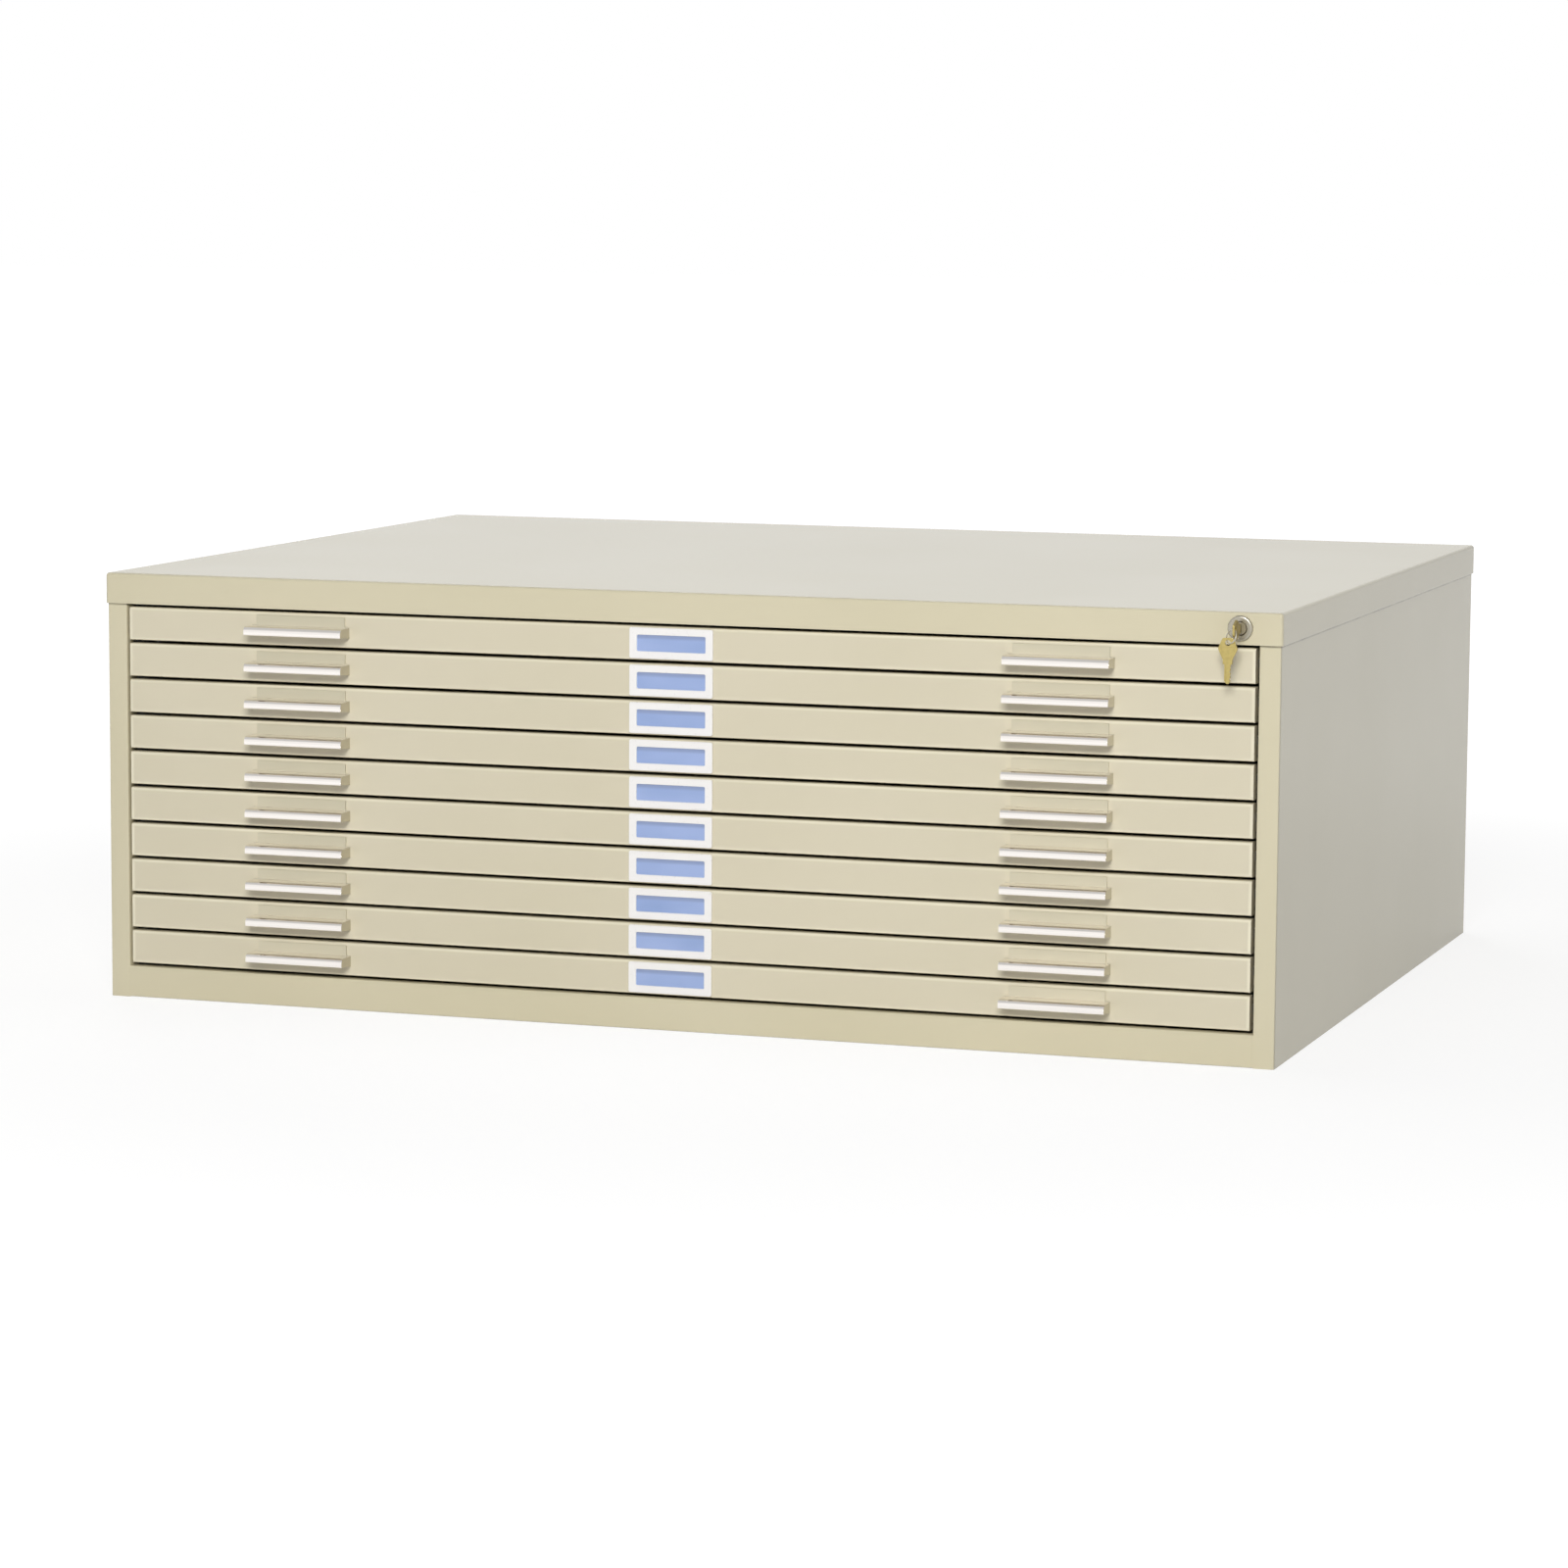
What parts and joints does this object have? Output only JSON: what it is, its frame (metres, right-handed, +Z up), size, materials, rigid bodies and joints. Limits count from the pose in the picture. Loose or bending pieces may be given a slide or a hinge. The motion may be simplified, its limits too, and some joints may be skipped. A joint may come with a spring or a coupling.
{
  "type": "flat file cabinet",
  "caption": "Low wide sheet-steel cabinet of shallow drawers for large flat sheets, with pulls, label holders and a gang lock worked by a key in the header.",
  "frame": {"origin": "centre of the case's footprint, on the floor it stands on", "axes": "+Z up; +X to the right seen from the front; -Y out of the front, the way the drawers open"},
  "size_m": [1.1778, 0.9264, 0.4191],
  "materials": {
    "putty_enamel": "baked enamel, semi-gloss",
    "zinc_steel": "bright zinc plate",
    "chromed_steel": "bright chrome plate",
    "label_holder": "satin white",
    "key_brass": "stamped brass"
  },
  "bodies": {
    "cabinet": {"top_cap": "putty_enamel", "left_side_panel": "putty_enamel", "right_side_panel": "putty_enamel", "back_panel": "putty_enamel", "bottom_panel": "putty_enamel", "bottom_rail": "putty_enamel", "cap_stiffener": "zinc_steel", "left_runner_rack": "zinc_steel", "right_runner_rack": "zinc_steel", "upper_bar_guide": "zinc_steel", "lower_bar_guide": "zinc_steel", "lock_nut": "zinc_steel", "lock_cylinder": "chromed_steel"},
    "drawer_01": {"drawer_01": "putty_enamel", "drawer_01_label_holder": "label_holder", "drawer_01_left_pull": "chromed_steel", "drawer_01_right_pull": "chromed_steel"},
    "drawer_02": {"drawer_02": "putty_enamel", "drawer_02_label_holder": "label_holder", "drawer_02_left_pull": "chromed_steel", "drawer_02_right_pull": "chromed_steel"},
    "drawer_03": {"drawer_03": "putty_enamel", "drawer_03_label_holder": "label_holder", "drawer_03_left_pull": "chromed_steel", "drawer_03_right_pull": "chromed_steel"},
    "drawer_04": {"drawer_04": "putty_enamel", "drawer_04_label_holder": "label_holder", "drawer_04_left_pull": "chromed_steel", "drawer_04_right_pull": "chromed_steel"},
    "drawer_05": {"drawer_05": "putty_enamel", "drawer_05_label_holder": "label_holder", "drawer_05_left_pull": "chromed_steel", "drawer_05_right_pull": "chromed_steel"},
    "drawer_06": {"drawer_06": "putty_enamel", "drawer_06_label_holder": "label_holder", "drawer_06_left_pull": "chromed_steel", "drawer_06_right_pull": "chromed_steel"},
    "drawer_07": {"drawer_07": "putty_enamel", "drawer_07_label_holder": "label_holder", "drawer_07_left_pull": "chromed_steel", "drawer_07_right_pull": "chromed_steel"},
    "drawer_08": {"drawer_08": "putty_enamel", "drawer_08_label_holder": "label_holder", "drawer_08_left_pull": "chromed_steel", "drawer_08_right_pull": "chromed_steel"},
    "drawer_09": {"drawer_09": "putty_enamel", "drawer_09_label_holder": "label_holder", "drawer_09_left_pull": "chromed_steel", "drawer_09_right_pull": "chromed_steel"},
    "drawer_10": {"drawer_10": "putty_enamel", "drawer_10_label_holder": "label_holder", "drawer_10_left_pull": "chromed_steel", "drawer_10_right_pull": "chromed_steel"},
    "lock_plug": {"lock_plug": "zinc_steel", "lock_cam": "zinc_steel"},
    "lock_bar": {"lock_bar": "zinc_steel"},
    "key": {"key": "key_brass"},
    "key_ring": {"key_ring": "chromed_steel"},
    "spare_key": {"spare_key": "key_brass"}
  },
  "joints": [
    {"name": "drawer_01_slide", "type": "slide", "parent": "cabinet", "child": "drawer_01", "axis": [0, -1, 0], "range_m": [0, 0.685]},
    {"name": "drawer_02_slide", "type": "slide", "parent": "cabinet", "child": "drawer_02", "axis": [0, -1, 0], "range_m": [0, 0.685]},
    {"name": "drawer_03_slide", "type": "slide", "parent": "cabinet", "child": "drawer_03", "axis": [0, -1, 0], "range_m": [0, 0.685]},
    {"name": "drawer_04_slide", "type": "slide", "parent": "cabinet", "child": "drawer_04", "axis": [0, -1, 0], "range_m": [0, 0.685]},
    {"name": "drawer_05_slide", "type": "slide", "parent": "cabinet", "child": "drawer_05", "axis": [0, -1, 0], "range_m": [0, 0.685]},
    {"name": "drawer_06_slide", "type": "slide", "parent": "cabinet", "child": "drawer_06", "axis": [0, -1, 0], "range_m": [0, 0.685]},
    {"name": "drawer_07_slide", "type": "slide", "parent": "cabinet", "child": "drawer_07", "axis": [0, -1, 0], "range_m": [0, 0.685]},
    {"name": "drawer_08_slide", "type": "slide", "parent": "cabinet", "child": "drawer_08", "axis": [0, -1, 0], "range_m": [0, 0.685]},
    {"name": "drawer_09_slide", "type": "slide", "parent": "cabinet", "child": "drawer_09", "axis": [0, -1, 0], "range_m": [0, 0.685]},
    {"name": "drawer_10_slide", "type": "slide", "parent": "cabinet", "child": "drawer_10", "axis": [0, -1, 0], "range_m": [0, 0.685]},
    {"name": "lock_plug_turn", "type": "hinge", "parent": "cabinet", "child": "lock_plug", "pos_m": [0.54955, -0.45215, 0.4045], "axis": [0, 1, 0], "range_deg": [0, 90]},
    {"name": "lock_bar_slide", "type": "slide", "parent": "cabinet", "child": "lock_bar", "axis": [0, 0, -1], "range_m": [0, 0.00849]},
    {"name": "key_slide", "type": "slide", "parent": "lock_plug", "child": "key", "axis": [0, -1, 0], "range_m": [0, 0.022]},
    {"name": "key_ring_swing", "type": "hinge", "parent": "key", "child": "key_ring", "pos_m": [0.54955, -0.47215, 0.4045], "axis": [-1, 0, 0], "range_deg": [-5, 80]},
    {"name": "spare_key_swing", "type": "hinge", "parent": "key_ring", "child": "spare_key", "pos_m": [0.54355, -0.47215, 0.39297], "axis": [0, 1, 0], "range_deg": [-30, 30]}
  ],
  "couplings": [
    {"joint": "lock_plug_turn", "follows": "lock_bar_slide", "rad_per_m": 185.12}
  ]
}
